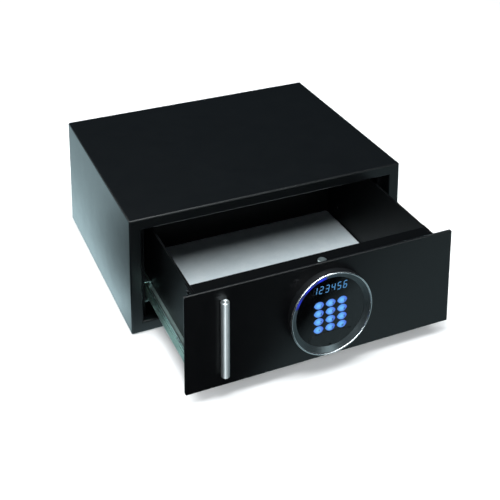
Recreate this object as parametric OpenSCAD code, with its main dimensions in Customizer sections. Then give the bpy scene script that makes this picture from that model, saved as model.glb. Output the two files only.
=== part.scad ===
// In-room drawer safe: a folded steel cabinet with a keypad-locked drawer on ball-bearing slides.
// Units are millimetres. +X is right, -Y is the front and +Z is up.
// The origin is the centre of the cabinet's underside. Every sub-part is written with y = 0 at the
// cabinet's front plane and, on the drawer, with the drawer shut; placed() and on_drawer() move it.

/* [Cabinet] */
// Width of the cabinet
body_w = 480; // [440:1:520]
// Depth of the cabinet
body_d = 368; // [366:1:420]
// Height of the cabinet
body_h = 197; // [190:1:220]
// Thickness of the cabinet's steel sheet
shell_t = 2; // [1.5:0.1:2.5]
// Outer radius of the cabinet's folded corners
fold_r = 3; // [2.6:0.1:6]
// Depth of the return lips at the sides of the mouth
lip_side_d = 18; // [10:1:19]
// Depth of the return lips above and below the mouth
lip_top_d = 12; // [8:1:12.5]

/* [Anchor holes] */
// Diameter of the fixing holes in the base and the back
anchor_d = 9; // [6:0.5:12]
// Spacing of the base holes from left to right
anchor_x = 300; // [200:10:340]
// Spacing of the base holes from front to back
anchor_y = 200; // [120:10:240]
// Spacing of the two holes in the back
anchor_rear_x = 300; // [260:10:340]

/* [Drawer] */
// How far the drawer stands open
drawer_open = 180.5; // [0:0.5:240]
// Width of the drawer's front panel
panel_w = 438; // [436:1:440]
// Height of the drawer's front panel
panel_h = 157.5; // [156:0.5:158]
// Thickness of the front panel
panel_t = 4; // [3:0.5:5]
// Corner radius of the front panel
panel_r = 4; // [1:0.5:8]
// Radius of the front panel's rounded edges
panel_edge_r = 1.4; // [0.6:0.1:1.4]
// Gap all round the front panel when shut
panel_gap = 1; // [0.5:0.1:1.5]
// Width over the drawer's sides
tray_w = 396; // [394:1:397]
// Distance from the front plane to the back of the tray
tray_rear = 350; // [330:1:352]
// Thickness of the tray's sheet
tray_t = 1.5; // [1:0.1:1.8]
// Height of the tray's underside
tray_z = 26; // [24:0.5:27]
// Height of the tray's top edge
tray_top = 165; // [163:0.5:166]
// Thickness of the felt on the drawer floor
mat_t = 2.5; // [1.5:0.5:4]

/* [Slides] */
// Length of the fixed and the moving slide member
slide_len = 330; // [310:5:330]
// Height of the slide's centre line
slide_z = 53; // [50:1:55]
// Height of the fixed member
slide_h = 35; // [34:0.5:36]
// Thickness of the slide from drawer to bracket
slide_t = 12.7; // [12:0.1:13]
// Sheet thickness of the slide members
slide_sheet = 1.2; // [1:0.1:1.3]
// Diameter of the slide's balls
ball_d = 3.7; // [3.5:0.1:3.7]

/* [Lock] */
// Distance from the front plane to the back of the lock housing
lock_rear = 40.5; // [40:0.5:44]
// Diameter of the lock bolt
bolt_d = 14; // [10:0.5:14]
// Distance from the front plane to the bolt's axis
bolt_y = 20.5; // [20:0.5:21]
// How far the bolt rises
bolt_travel = 18; // [14:1:18]

/* [Keypad] */
// Sideways position of the keypad and the bolt
keypad_x = 6; // [-10:1:10]
// Outer diameter of the bright ring
keypad_d = 134; // [130:1:136]
// How far the bright ring stands out of the panel
keypad_depth = 14; // [13.5:0.1:14.5]
// Width of a key
key_w = 16.2; // [14:0.1:17]
// Height of a key
key_h = 11.4; // [9:0.1:12]
// Spacing of the key columns
key_dx = 19.2; // [18:0.1:20]
// Spacing of the key rows
key_dz = 13.4; // [13.3:0.1:13.6]
// Width of the service cover under the keys
cover_w = 70; // [50:1:72]

/* [Handle] */
// Sideways position of the handle
handle_x = -160; // [-190:1:-90]
// Diameter of the handle rod
handle_d = 12.7; // [10:0.1:16]
// Length of the handle rod
handle_len = 119; // [90:1:130]

/* [Hidden] */
$fn = 96;

// Frame of the model
front_y = -body_d / 2;
touch = 0.2; // gap between neighbours that only just clear each other
screw_play = 0.05; // radial gap between a screw and its hole

// Cabinet mouth
mouth_w = panel_w + 2 * panel_gap;
mouth_h = panel_h + 2 * panel_gap;
mouth_z = body_h / 2;
rear_flange = 14;
corner_gap = 1; // keeps the brackets off the cabinet's rounded folds

// Drawer tray and front panel
tray_x = tray_w / 2;
hem_h = 10; // height of the folded edge along the tray's sides
floor_z = tray_z + tray_t;
lip_play = 0.5; // gap between the lock housing and the tray's hem

// Slide section, from the drawer's side outwards
slide_x = tray_x;
slide_front = 24; // front end of the fixed member
inner_front = 8; // front end of the moving member, drawer shut
inner_h = 25; // height of the moving member
inner_w = 7; // width of the moving member's flanges
lip_gap = 1; // distance from the tray to the fixed member's lips
lip_h = 2.5; // height of the fixed member's lips
race_z = (slide_h / 2 - slide_sheet + inner_h / 2) / 2; // ball track above the centre line
ball_x = slide_x + 5;
ball_count = 8; // balls in each track
retainer_len = 70;
retainer_t = 0.8;
retainer_shut = 145; // front end of the ball retainer, drawer shut
bracket_x = slide_x + slide_t;
bracket_t = 1.5;
bracket_front = 20;
bracket_rear = 352;

// Screws
screw_r = 2; // M4 thread
head_r = 3.6;
head_h = 2;
cabinet_screw_y = [60, 180, 330];
slide_screw_y = [72, 81, 190, 310];
bracket_screw_y = 36;
bracket_screw_z = [85, 158];
handle_screw_dz = 45;

// Front brackets that join the tray to the panel
angle_t = 2;
angle_len = 44;
angle_leg = 16;
angle_z = 74;

// Keypad stack, as distances in front of the panel
keypad_z = body_h / 2;
keypad_r = keypad_d / 2;
housing_r = keypad_r - 1;
housing_wall = 3;
housing_depth = keypad_depth - 3.5;
housing_floor = 1.5;
spigot_r = 24.8; // rear spigot that fills the hole in the panel
spigot_play = 0.2;
cable_hole_r = 10;
ring_width = 2.8;
cone_outer_r = keypad_r - ring_width;
face_r = 56.2;
face_front = 8;
face_t = 2;
lamp_from = 98; // start and end of the lit arc, anticlockwise from the right
lamp_to = 161;
screw_circle_r = 45;
key_clear = 0.3;
key_travel = 0.8;
key_flange = 0.9; // how far a key's flange reaches past its cap
key_flange_t = 0.8;
key_proud = 1.3; // how far a key's crown stands out of the face
key_crown_r = 22;
mat_front = 4;
board_front = 3;
key_row_z = 15.2; // top row of keys above the keypad's centre
display_z = 39;
display_h = 17;
display_r = 53.4;
cover_edge_r = 54.3; // lower edge, concentric with the face
cover_top = -32.1;
cover_crown_r = 230; // upper edge, nearly flat
cover_mid = -38; // centre of the circle that rounds off the ends
cover_proud = 0.8;
socket_z = -43.2;
cover_play = 0.2;
notch_r = 2;

// Lock parts inside the housing
bolt_r = bolt_d / 2;
bolt_proud = 2.5; // bolt above the housing when withdrawn
bolt_top = tray_top + bolt_proud;
bolt_round_len = 45.9;
bolt_chamfer = 0.8;
guide_w = 28;
guide_len = 22;
guide_z = 126;
running = 0.05; // radial running clearance
strike_t = 3;
strike_z = mouth_z + mouth_h / 2 + 0.25;
gear_m = 1; // tooth module
gear_n = 12;
gear_alpha = 25; // pressure angle
gear_w = 7;
gear_z = 104;
addendum = 0.75 * gear_m;
dedendum = gear_m;
backlash = 0.1; // taken off each tooth's thickness
gear_r = gear_m * gear_n / 2;
pitch = PI * gear_m;
rack_w = 8;
rack_back = 3; // rack bar's rear edge behind the bolt's axis
rack_pitch_y = bolt_y + rack_back + dedendum;
gear_y = rack_pitch_y + gear_r;
shaft_r = 1.5;
shaft_from = -5;
motor_x = keypad_x + 9.5;
gearbox_len = 9;
motor_len = 15;
motor_w = 12;
motor_h = 10;
cell_r = 7.1;
cell_len = 48.5;
cell_count = 4;
cell_x = -150;
cell_z = 62;
board_x = 92;
pcb_w = 70;
pcb_h = 50;
pcb_t = 1.6;
pcb_z = 62;

// Colours
paint = [0.08, 0.09, 0.11];
zinc = [0.72, 0.76, 0.74];
steel = [0.6, 0.62, 0.64];
satin = [0.8, 0.82, 0.83];
chrome = [0.85, 0.86, 0.88];
bezel = [0.5, 0.55, 0.56];
gloss = [0.02, 0.02, 0.03];
plastic = [0.05, 0.05, 0.06];
key_blue = [0.45, 0.65, 1];
lamp_blue = [0.05, 0.1, 0.9];
felt = [0.5, 0.52, 0.54];
rubber = [0.1, 0.1, 0.1];
board_green = [0.05, 0.3, 0.15];
brass = [0.75, 0.6, 0.3];

// ---------- helpers ----------

module placed() translate([0, front_y, 0]) children();

module on_drawer() translate([0, front_y - drawer_open, 0]) children();

// A front view in x and z, carried back from y
module prism_y(y, len) translate([0, y + len, 0]) rotate([90, 0, 0]) linear_extrude(len) children();

// A side view in y and z, carried right from x
module prism_x(x, len) translate([x, 0, 0]) rotate([90, 0, 90]) linear_extrude(len) children();

// A plan view in x and y, carried up from z
module prism_z(z, len) translate([0, 0, z]) linear_extrude(len) children();

module rod_x(r, len) rotate([0, 90, 0]) cylinder(r = r, h = len);

module rod_y(r, len) rotate([-90, 0, 0]) cylinder(r = r, h = len);

module both_sides() {
    children();
    mirror([1, 0, 0]) children();
}

module rounded_rect(w, h, r) {
    square([w - 2 * r, h], center = true);
    square([w, h - 2 * r], center = true);
    for (sx = [-1, 1], sz = [-1, 1])
        translate([sx * (w / 2 - r), sz * (h / 2 - r)]) circle(r);
}

// An almond outline: two arcs whose meeting points are trimmed by a third circle
module almond(w, h) {
    arc_r = (w * w + h * h) / (4 * h);
    intersection() {
        translate([0, arc_r - h / 2]) circle(arc_r);
        translate([0, h / 2 - arc_r]) circle(arc_r);
        circle(w / 2 - h * 0.02);
    }
}

// A pan-head screw whose head sits on the plane z = 0 and whose thread points down
module pan_screw(len) {
    difference() {
        intersection() {
            cylinder(r = head_r, h = head_h);
            translate([0, 0, head_h - head_r * 2.2]) sphere(head_r * 2.2);
        }
        for (turn = [0, 90])
            rotate(turn) translate([0, 0, head_h]) cube([head_r * 1.2, 0.8, 2], center = true);
    }
    translate([0, 0, -len]) cylinder(r = screw_r, h = len);
}

// A screw on a side wall, its head facing outwards at x
module side_screw(x, y, z, len) translate([x, y, z]) rotate([0, 90, 0]) pan_screw(len);

// Things placed round the keypad's centre: x right, y out of the panel
module at_keypad() translate([keypad_x, 0, keypad_z]) children();

// A keypad outline in x and z, from "back" to "front" in front of the panel
module keypad_prism(back, front) at_keypad() prism_y(-front, front - back) children();

// A turned keypad ring: the profile holds radius and distance in front of the panel
module keypad_turn(from = 0, to = 360) at_keypad() rotate([90, 0, 0])
    rotate([0, 0, from]) rotate_extrude(angle = to - from) children();

// ---------- cabinet ----------

module anchor_holes() {
    for (sx = [-1, 1], sy = [-1, 1])
        translate([sx * anchor_x / 2, sy * anchor_y / 2 - front_y, -1])
            cylinder(d = anchor_d, h = shell_t + 2);
}

// The folded box as a block, drawn in by inset: its long edges and its front edges all have the bend radius
module wrap_block(inset, past_rear = 0) {
    w = body_w - 2 * inset;
    h = body_h - 2 * inset;
    r = fold_r - inset;
    intersection() {
        prism_y(-1, body_d + 1 + past_rear) translate([0, mouth_z]) rounded_rect(w, h, r);
        prism_x(-body_w, 2 * body_w) translate([inset + body_d, mouth_z]) rounded_rect(2 * body_d, h, r);
        prism_z(-1, body_h + 2) translate([0, inset + body_d]) rounded_rect(w, 2 * body_d, r);
    }
}

// The mouth in one direction: a gap whose sides turn outwards at the front, round the bend
module mouth_gap(width) difference() {
    translate([-width / 2 - fold_r - 1, -1]) square([width + 2 * fold_r + 2, lip_side_d + 2]);
    for (s = [-1, 1])
        translate([s * (width / 2 + 50), 50]) rounded_rect(100, 100, fold_r);
}

module mouth_cut() intersection() {
    prism_z(0, body_h) mouth_gap(mouth_w);
    prism_x(-body_w, 2 * body_w) translate([0, mouth_z]) rotate(-90) mouth_gap(mouth_h);
}

module cabinet_wrap() color(paint) placed() difference() {
    union() {
        difference() {
            wrap_block(0);
            wrap_block(shell_t, 1);
        }
        both_sides() prism_y(shell_t / 2, lip_side_d - shell_t / 2)
            translate([mouth_w / 2, mouth_z - mouth_h / 2 - shell_t])
            square([shell_t, mouth_h + 2 * shell_t]);
        for (sz = [-1, 1])
            prism_y(shell_t / 2, lip_top_d - shell_t / 2)
                translate([0, mouth_z + sz * (mouth_h + shell_t) / 2])
                square([mouth_w + 2 * shell_t, shell_t], center = true);
    }
    mouth_cut();
    anchor_holes();
}

// A back plate with a flange folded forward all round it
module rear_panel() color(paint) placed() difference() {
    plate = [body_w - 2 * shell_t, body_h - 2 * shell_t];
    inside = [plate[0] - 2 * shell_t, plate[1] - 2 * shell_t];
    prism_y(body_d - rear_flange, rear_flange) translate([0, mouth_z])
        rounded_rect(plate[0], plate[1], fold_r);
    prism_y(body_d - rear_flange - 1, rear_flange + 1 - shell_t)
        translate([0, mouth_z]) square(inside, center = true);
    for (sx = [-1, 1])
        translate([sx * anchor_rear_x / 2, body_d - shell_t - 1, mouth_z]) rod_y(anchor_d / 2, shell_t + 2);
}

// The right-hand bracket: an upright channel between the cabinet wall and the slide
module slide_bracket() {
    z0 = shell_t + corner_gap;
    wall_x = body_w / 2 - shell_t;
    difference() {
        prism_z(z0, body_h - 2 * z0) difference() {
            translate([bracket_x, bracket_front])
                square([wall_x - bracket_x, bracket_rear - bracket_front]);
            translate([bracket_x + bracket_t, bracket_front + bracket_t])
                square([wall_x - bracket_x, bracket_rear - bracket_front - 2 * bracket_t]);
        }
        for (y = cabinet_screw_y)
            translate([bracket_x - 1, y, slide_z]) rod_x(screw_r + screw_play, bracket_t + 2);
    }
}

module slide_bracket_left() color(zinc) placed() mirror([1, 0, 0]) slide_bracket();

module slide_bracket_right() color(zinc) placed() slide_bracket();

// The right-hand fixed member: a channel open towards the drawer, with inturned lips
module slide_outer() difference() {
    prism_y(slide_front, slide_len) translate([slide_x + lip_gap, slide_z - slide_h / 2]) difference() {
        square([slide_t - lip_gap, slide_h]);
        translate([slide_sheet, slide_sheet])
            square([slide_t - lip_gap - 2 * slide_sheet, slide_h - 2 * slide_sheet]);
        translate([-1, slide_sheet + lip_h]) square([slide_sheet + 2, slide_h - 2 * (slide_sheet + lip_h)]);
    }
    for (y = cabinet_screw_y)
        translate([bracket_x - slide_sheet - 1, y, slide_z]) rod_x(screw_r + screw_play, slide_sheet + 2);
}

module slide_outer_left() color(zinc) placed() mirror([1, 0, 0]) slide_outer();

module slide_outer_right() color(zinc) placed() slide_outer();

module cabinet_screws() color(steel) placed() both_sides()
    for (y = cabinet_screw_y)
        translate([bracket_x - slide_sheet, y, slide_z]) rotate([0, -90, 0])
            pan_screw(slide_sheet + bracket_t + 2);

module strike_bracket() color(zinc) placed() difference() {
    union() {
        translate([keypad_x - 40, lip_top_d + 0.5, strike_z]) cube([80, 22, strike_t]);
        translate([keypad_x - 40, lip_top_d + 19.5, strike_z])
            cube([80, strike_t, body_h - shell_t - strike_z]);
    }
    translate([keypad_x, bolt_y, strike_z - 1]) cylinder(r = bolt_r + 0.6, h = strike_t + 2);
}

module rear_bumpers() color(rubber) placed() both_sides()
    translate([90, tray_rear + touch, mouth_z]) {
        rod_y(6, 6);
        translate([0, 6, 0]) rod_y(9, body_d - shell_t - tray_rear - touch - 6);
    }

// ---------- slide balls, at half the drawer's travel ----------

module on_retainer() translate([0, front_y + retainer_shut - drawer_open / 2, 0]) children();

function ball_y(i) = retainer_len * (i + 0.5) / ball_count;

module ball_retainer() difference() {
    prism_y(0, retainer_len) translate([0, slide_z]) difference() {
        translate([slide_x + 2.5, -race_z - retainer_t / 2]) square([6.3, 2 * race_z + retainer_t]);
        translate([slide_x + 2, -race_z + retainer_t / 2]) square([6, 2 * race_z - retainer_t]);
    }
    for (i = [0 : ball_count - 1])
        translate([ball_x, ball_y(i), slide_z]) cylinder(r = ball_d / 2 + 0.05, h = slide_h, center = true);
}

module slide_balls() for (i = [0 : ball_count - 1], sz = [-1, 1])
    translate([ball_x, ball_y(i), slide_z + sz * race_z]) sphere(d = ball_d, $fn = 32);

module ball_retainer_left() color(brass) on_retainer() mirror([1, 0, 0]) ball_retainer();

module ball_retainer_right() color(brass) on_retainer() ball_retainer();

module slide_balls_left() color(chrome) on_retainer() mirror([1, 0, 0]) slide_balls();

module slide_balls_right() color(chrome) on_retainer() slide_balls();

// ---------- drawer ----------

module drawer_tray() color(paint) on_drawer() difference() {
    union() {
        prism_y(panel_t, tray_rear - panel_t) union() {
            translate([-tray_x, tray_z]) square([tray_w, tray_t]);
            both_sides() {
                translate([tray_x - tray_t, tray_z]) square([tray_t, tray_top - tray_z]);
                translate([tray_x - 2 * tray_t, tray_top - hem_h]) square([2 * tray_t, hem_h]);
            }
        }
        prism_y(tray_rear - tray_t, tray_t) translate([-tray_x, tray_z]) square([tray_w, tray_top - tray_z]);
    }
    both_sides() {
        for (y = slide_screw_y)
            translate([tray_x - tray_t - 1, y, slide_z]) rod_x(screw_r + screw_play, tray_t + 2);
        for (z = bracket_screw_z)
            translate([tray_x - 2 * tray_t - 1, bracket_screw_y, z])
                rod_x(screw_r + screw_play, 2 * tray_t + 2);
    }
}

// The front plate with its edges rounded: front, side and plan outlines cut into one another
module panel_block() intersection() {
    prism_y(0, panel_t) translate([0, mouth_z]) rounded_rect(panel_w, panel_h, panel_r);
    prism_x(-panel_w, 2 * panel_w) translate([panel_t / 2, mouth_z])
        rounded_rect(panel_t, panel_h, panel_edge_r);
    prism_z(-1, body_h + 2) translate([0, panel_t / 2])
        rounded_rect(panel_w, panel_t, panel_edge_r);
}

module drawer_panel() color(paint) on_drawer() difference() {
    panel_block();
    at_keypad() translate([0, -1, 0]) rod_y(spigot_r + spigot_play, panel_t + 2);
    at_keypad() keypad_screw_places() translate([0, -1, 0]) rod_y(screw_r + screw_play, panel_t + 2);
    for (sz = [-1, 1])
        translate([handle_x, -1, mouth_z + sz * handle_screw_dz]) rod_y(screw_r + screw_play, panel_t + 2);
}

// The right-hand angle between the tray's side and the panel
module front_bracket() difference() {
    prism_z(angle_z, tray_top - 1 - angle_z) {
        translate([tray_x, panel_t]) square([angle_t, angle_len]);
        translate([tray_x, panel_t]) square([angle_leg, angle_t]);
    }
    for (z = bracket_screw_z)
        translate([tray_x - 1, bracket_screw_y, z]) rod_x(screw_r + screw_play, angle_t + 2);
}

module front_bracket_left() color(paint) on_drawer() mirror([1, 0, 0]) front_bracket();

module front_bracket_right() color(paint) on_drawer() front_bracket();

module drawer_screws() color(steel) on_drawer() both_sides()
    for (z = bracket_screw_z)
        side_screw(tray_x + angle_t, bracket_screw_y, z, angle_t + 3 * tray_t + lip_play);

// The right-hand moving member: a channel open outwards, screwed to the tray's side
module slide_inner() difference() {
    prism_y(inner_front, slide_len) translate([slide_x, slide_z]) difference() {
        translate([0, -inner_h / 2]) square([inner_w, inner_h]);
        translate([slide_sheet, slide_sheet - inner_h / 2]) square([inner_w, inner_h - 2 * slide_sheet]);
    }
    for (y = slide_screw_y)
        translate([slide_x - 1, y, slide_z]) rod_x(screw_r + screw_play, slide_sheet + 2);
}

module slide_inner_left() color(zinc) on_drawer() mirror([1, 0, 0]) slide_inner();

module slide_inner_right() color(zinc) on_drawer() slide_inner();

module slide_screws() color(steel) on_drawer() both_sides()
    for (y = slide_screw_y)
        side_screw(slide_x + slide_sheet, y, slide_z, slide_sheet + tray_t);

module lock_housing() color(paint) on_drawer() difference() {
    housing_x = tray_x - 2 * tray_t - lip_play;
    translate([-housing_x, panel_t, floor_z]) cube([2 * housing_x, lock_rear - panel_t, tray_top - floor_z]);
    translate([-housing_x + tray_t, panel_t - 1, floor_z - 1])
        cube([2 * (housing_x - tray_t), lock_rear - panel_t - tray_t + 1, tray_top - floor_z - tray_t + 1]);
    translate([keypad_x, bolt_y, tray_top - tray_t - 1]) cylinder(r = bolt_r + 0.4, h = tray_t + 2);
    both_sides() for (z = bracket_screw_z)
        translate([housing_x - tray_t - 1, bracket_screw_y, z]) rod_x(screw_r + screw_play, tray_t + 2);
}

module floor_mat() color(felt) on_drawer()
    translate([-tray_x + tray_t + 1, lock_rear + 1, floor_z])
    cube([tray_w - 2 * tray_t - 2, tray_rear - lock_rear - tray_t - 2, mat_t]);

// ---------- handle ----------

handle_axis_y = -handle_d / 2 + 0.75; // a flat 0.75 deep seats the rod on the panel

module handle_rod() color(satin) on_drawer() difference() {
    translate([handle_x, handle_axis_y, mouth_z - handle_len / 2]) cylinder(d = handle_d, h = handle_len);
    translate([handle_x - handle_d, 0, mouth_z - handle_len / 2 - 1])
        cube([2 * handle_d, handle_d, handle_len + 2]);
    for (sz = [-1, 1])
        translate([handle_x, -8, mouth_z + sz * handle_screw_dz]) rod_y(screw_r + screw_play, 9);
}

module handle_screws() color(steel) on_drawer()
    for (sz = [-1, 1])
        translate([handle_x, panel_t, mouth_z + sz * handle_screw_dz]) rotate([-90, 0, 0])
            pan_screw(panel_t + 7);

// ---------- keypad ----------

module keypad_screw_places() for (turn = [45 : 90 : 315])
    translate([screw_circle_r * cos(turn), 0, screw_circle_r * sin(turn)]) children();

module keypad_housing() color(plastic) on_drawer() difference() {
    union() {
        keypad_prism(0, housing_floor) circle(housing_r);
        keypad_turn() translate([housing_r - housing_wall, 0]) square([housing_wall, housing_depth]);
        at_keypad() rod_y(spigot_r, panel_t);
    }
    at_keypad() translate([0, -housing_floor - 1, 0]) rod_y(cable_hole_r, panel_t + housing_floor + 2);
    at_keypad() keypad_screw_places()
        translate([0, -housing_floor - 1, 0]) rod_y(screw_r + screw_play, housing_floor + 2);
}

module chrome_ring() color(chrome) on_drawer() keypad_turn()
    translate([keypad_r - ring_width, housing_depth]) {
        square([ring_width, keypad_depth - housing_depth - ring_width / 2]);
        translate([ring_width / 2, keypad_depth - housing_depth - ring_width / 2]) circle(ring_width / 2);
    }

cone_front = keypad_depth - 1.6;

cone_inner_r = face_r + 0.1;
cone_back = face_front + 0.2;
cone_slope = (cone_front - cone_back) / (cone_outer_r - cone_inner_r);

ledge_w = 1.5; // ledge that carries the face plate
ledge_t = 0.9;

// The lit arc is let into the cone's surface
lamp_t = 0.8;

// A band on the cone from its surface down to "deep", reaching "past" both of its edges
module cone_band(deep, past, over) polygon([
    [cone_inner_r - past, cone_back - deep - past * cone_slope],
    [cone_outer_r + past, cone_front - deep + past * cone_slope],
    [cone_outer_r + past, cone_front + over + past * cone_slope],
    [cone_inner_r - past, cone_back + over - past * cone_slope]
]);

module bezel_ring() color(bezel) on_drawer() difference() {
    keypad_turn() polygon([
        [cone_inner_r - ledge_w, face_front - face_t - ledge_t],
        [cone_outer_r - 1.5, face_front - face_t - ledge_t],
        [cone_outer_r - 1.5, housing_depth],
        [cone_outer_r, housing_depth],
        [cone_outer_r, cone_front],
        [cone_inner_r, cone_back],
        [cone_inner_r, face_front - face_t],
        [cone_inner_r - ledge_w, face_front - face_t]
    ]);
    keypad_turn(lamp_from, lamp_to) cone_band(lamp_t, 1, 1);
}

module status_light() color(lamp_blue) on_drawer() keypad_turn(lamp_from, lamp_to) cone_band(lamp_t, 0, 0);

module display_outline(grow = 0) intersection() {
    circle(display_r + grow);
    translate([0, display_z]) square([2 * display_r + 2 * grow, display_h + 2 * grow], center = true);
}

module cover_outline(grow = 0) intersection() {
    circle(cover_edge_r + grow);
    translate([0, cover_top - cover_crown_r]) circle(cover_crown_r + grow);
    translate([0, cover_mid]) circle(cover_w / 2 + grow);
}

module key_places() for (row = [0 : 3], col = [-1 : 1])
    translate([col * key_dx, key_row_z - row * key_dz]) children();

module face_plate() color(gloss) on_drawer() keypad_prism(face_front - face_t, face_front) difference() {
    circle(face_r);
    display_outline(0.1);
    key_places() almond(key_w + 2 * key_clear, key_h + 2 * key_clear);
    cover_outline(cover_play);
}

module display_lens() color(gloss) on_drawer()
    keypad_prism(face_front - face_t, face_front) display_outline();

module display_module() color(plastic) on_drawer()
    keypad_prism(board_front, face_front - face_t) intersection() {
        translate([0, display_z]) square([66, 14], center = true);
        circle(display_r - 1);
    }

module key_mat() color(rubber) on_drawer() keypad_prism(board_front, mat_front)
    translate([0, key_row_z - 1.5 * key_dz]) square([3.4 * key_dx, 4.4 * key_dz], center = true);

module keypad_board() color(board_green) on_drawer() keypad_prism(housing_floor, board_front) difference() {
    circle(face_r - 1);
    circle(5);
}

module keypad_screws() color(steel) on_drawer() at_keypad() keypad_screw_places()
    translate([0, panel_t, 0]) rotate([-90, 0, 0]) pan_screw(panel_t + housing_floor - 0.1);

module service_socket() color(plastic) on_drawer() difference() {
    keypad_prism(board_front, face_front - face_t)
        translate([0, socket_z]) square([20, 9], center = true);
    at_keypad() for (col = [-1.5 : 1.5])
        translate([col * 4, -face_front, socket_z]) rod_y(1, face_front - mat_front + 0.5);
}

module service_cover() color(gloss) on_drawer()
    keypad_prism(face_front - face_t, face_front + cover_proud)
    difference() {
        cover_outline();
        translate([0, -cover_edge_r]) circle(notch_r);
    }

// One key, at its column (-1 to 1) and row (0 to 3)
module key(col, row) color(key_blue) on_drawer()
    translate([col * key_dx, 0, key_row_z - row * key_dz]) {
        intersection() {
            keypad_prism(face_front - face_t - 0.5, face_front + key_proud) almond(key_w, key_h);
            at_keypad() translate([0, key_crown_r - face_front - key_proud, 0]) sphere(key_crown_r);
        }
        keypad_prism(face_front - face_t - 0.1 - key_flange_t, face_front - face_t - 0.1)
            almond(key_w + 2 * key_flange, key_h + 2 * key_flange);
    }

module key_1() key(-1, 0);

module key_2() key(0, 0);

module key_3() key(1, 0);

module key_4() key(-1, 1);

module key_5() key(0, 1);

module key_6() key(1, 1);

module key_7() key(-1, 2);

module key_8() key(0, 2);

module key_9() key(1, 2);

module key_star() key(-1, 3);

module key_0() key(0, 3);

module key_hash() key(1, 3);

// ---------- lock works ----------

module battery_holder() color(plastic) on_drawer() difference() {
    wall = 1.5;
    inner_w = 2 * cell_r * cell_count + 2;
    translate([cell_x - wall, lock_rear - tray_t - 2 * cell_r - 1 - wall, cell_z - wall])
        cube([inner_w + 2 * wall, 2 * cell_r + 1 + wall, cell_len + 3 + 2 * wall]);
    translate([cell_x, lock_rear - tray_t - 2 * cell_r - 2 - wall, cell_z])
        cube([inner_w, 2 * cell_r + 2, cell_len + 3]);
}

module batteries() color(steel) on_drawer()
    for (i = [0 : cell_count - 1])
        translate([cell_x + 1 + cell_r * (2 * i + 1), lock_rear - tray_t - cell_r - 1.7, cell_z]) {
            cylinder(r = cell_r - 0.05, h = cell_len);
            cylinder(r = 2.7, h = cell_len + 1.4);
        }

module control_board() color(board_green) on_drawer() {
    board_y = lock_rear - tray_t - 6;
    translate([board_x, board_y, pcb_z]) {
        cube([pcb_w, pcb_t, pcb_h]);
        for (dx = [5, pcb_w - 5], dz = [5, pcb_h - 5])
            translate([dx, pcb_t, dz]) rod_y(3, 6 - pcb_t);
        translate([12, -1.5, 14]) cube([14, 1.6, 14]);
        translate([34, -9, 10]) cube([16, 9.1, 12]);
        translate([42, -6, 38]) rod_y(4, 6.1);
    }
}

// A flat cable that runs from the keypad's rear hole to the control board
module ribbon_cable() color(plastic) on_drawer() prism_z(keypad_z - 6, 12) {
    cable_t = 0.8;
    start_x = keypad_x + 2;
    bend_x = 58;
    end_x = board_x;
    end_y = lock_rear - tray_t - 6;
    translate([start_x, -housing_floor]) square([cable_t, panel_t + housing_floor + 3]);
    translate([start_x, panel_t + 3 - cable_t]) square([bend_x - start_x, cable_t]);
    polygon([
        [bend_x - 1, panel_t + 3 - cable_t],
        [bend_x, panel_t + 3 - cable_t],
        [end_x, end_y],
        [end_x, end_y + cable_t],
        [bend_x - 1, panel_t + 3]
    ]);
}

module bolt_guide() color(plastic) on_drawer() difference() {
    translate([keypad_x - guide_w / 2, bolt_y - guide_len / 2, guide_z])
        cube([guide_w, guide_len, tray_top - tray_t - guide_z]);
    translate([keypad_x, bolt_y, guide_z - 1]) cylinder(r = bolt_r + running, h = tray_top - guide_z);
}

module motor_bracket() color(steel) on_drawer() difference() {
    union() {
        translate([motor_x - 1.5, gear_y - 8, gear_z - 8]) cube([1.5, lock_rear - tray_t - gear_y + 8, 16]);
        translate([motor_x - 1.5, lock_rear - tray_t - 1.2, gear_z - 8]) cube([32, 1.2, 16]);
    }
    translate([motor_x - 3, gear_y, gear_z]) rod_x(2.5, 4);
}

module lock_motor() color(steel) on_drawer() translate([motor_x, gear_y, gear_z]) difference() {
    union() {
        translate([0, -motor_w / 2, -motor_h / 2]) cube([gearbox_len, motor_w, motor_h]);
        translate([gearbox_len, 0, 0]) intersection() {
            rod_x(motor_w / 2, motor_len);
            translate([0, -motor_w, -motor_h / 2]) cube([motor_len, 2 * motor_w, motor_h]);
        }
        translate([gearbox_len + motor_len, 0, 0]) rod_x(2.5, 1.5);
    }
    translate([-1, 0, 0]) rod_x(shaft_r + running, 5);
}

// Involute pinion, worked out from the module, tooth count and pressure angle
function base_r() = gear_r * cos(gear_alpha);
function roll_at(r) = sqrt(pow(r / base_r(), 2) - 1) * 180 / PI;
function involute_turn(r) = roll_at(r) - atan(roll_at(r) * PI / 180);
function half_tooth() = (pitch / 4 - backlash / 2) / gear_r * 180 / PI + involute_turn(gear_r);
function flank_r(i) = base_r() + (gear_r + addendum - base_r()) * i / 6;
function polar(r, turn) = [r * cos(turn), r * sin(turn)];
function tooth(turn) = concat(
    [polar(gear_r - dedendum, turn - half_tooth())],
    [for (i = [0 : 6]) polar(flank_r(i), turn - half_tooth() + involute_turn(flank_r(i)))],
    [for (i = [6 : -1 : 0]) polar(flank_r(i), turn + half_tooth() - involute_turn(flank_r(i)))],
    [polar(gear_r - dedendum, turn + half_tooth())]
);

module pinion_outline() polygon([
    for (i = [0 : gear_n - 1], p = tooth(180 + i * 360 / gear_n)) p
]);

module drive_pinion() color(brass) on_drawer() translate([keypad_x, gear_y, gear_z]) {
    prism_x(-gear_w / 2, gear_w) pinion_outline();
    translate([shaft_from, 0, 0]) rod_x(shaft_r, motor_x - keypad_x + 3 - shaft_from);
}

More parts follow.
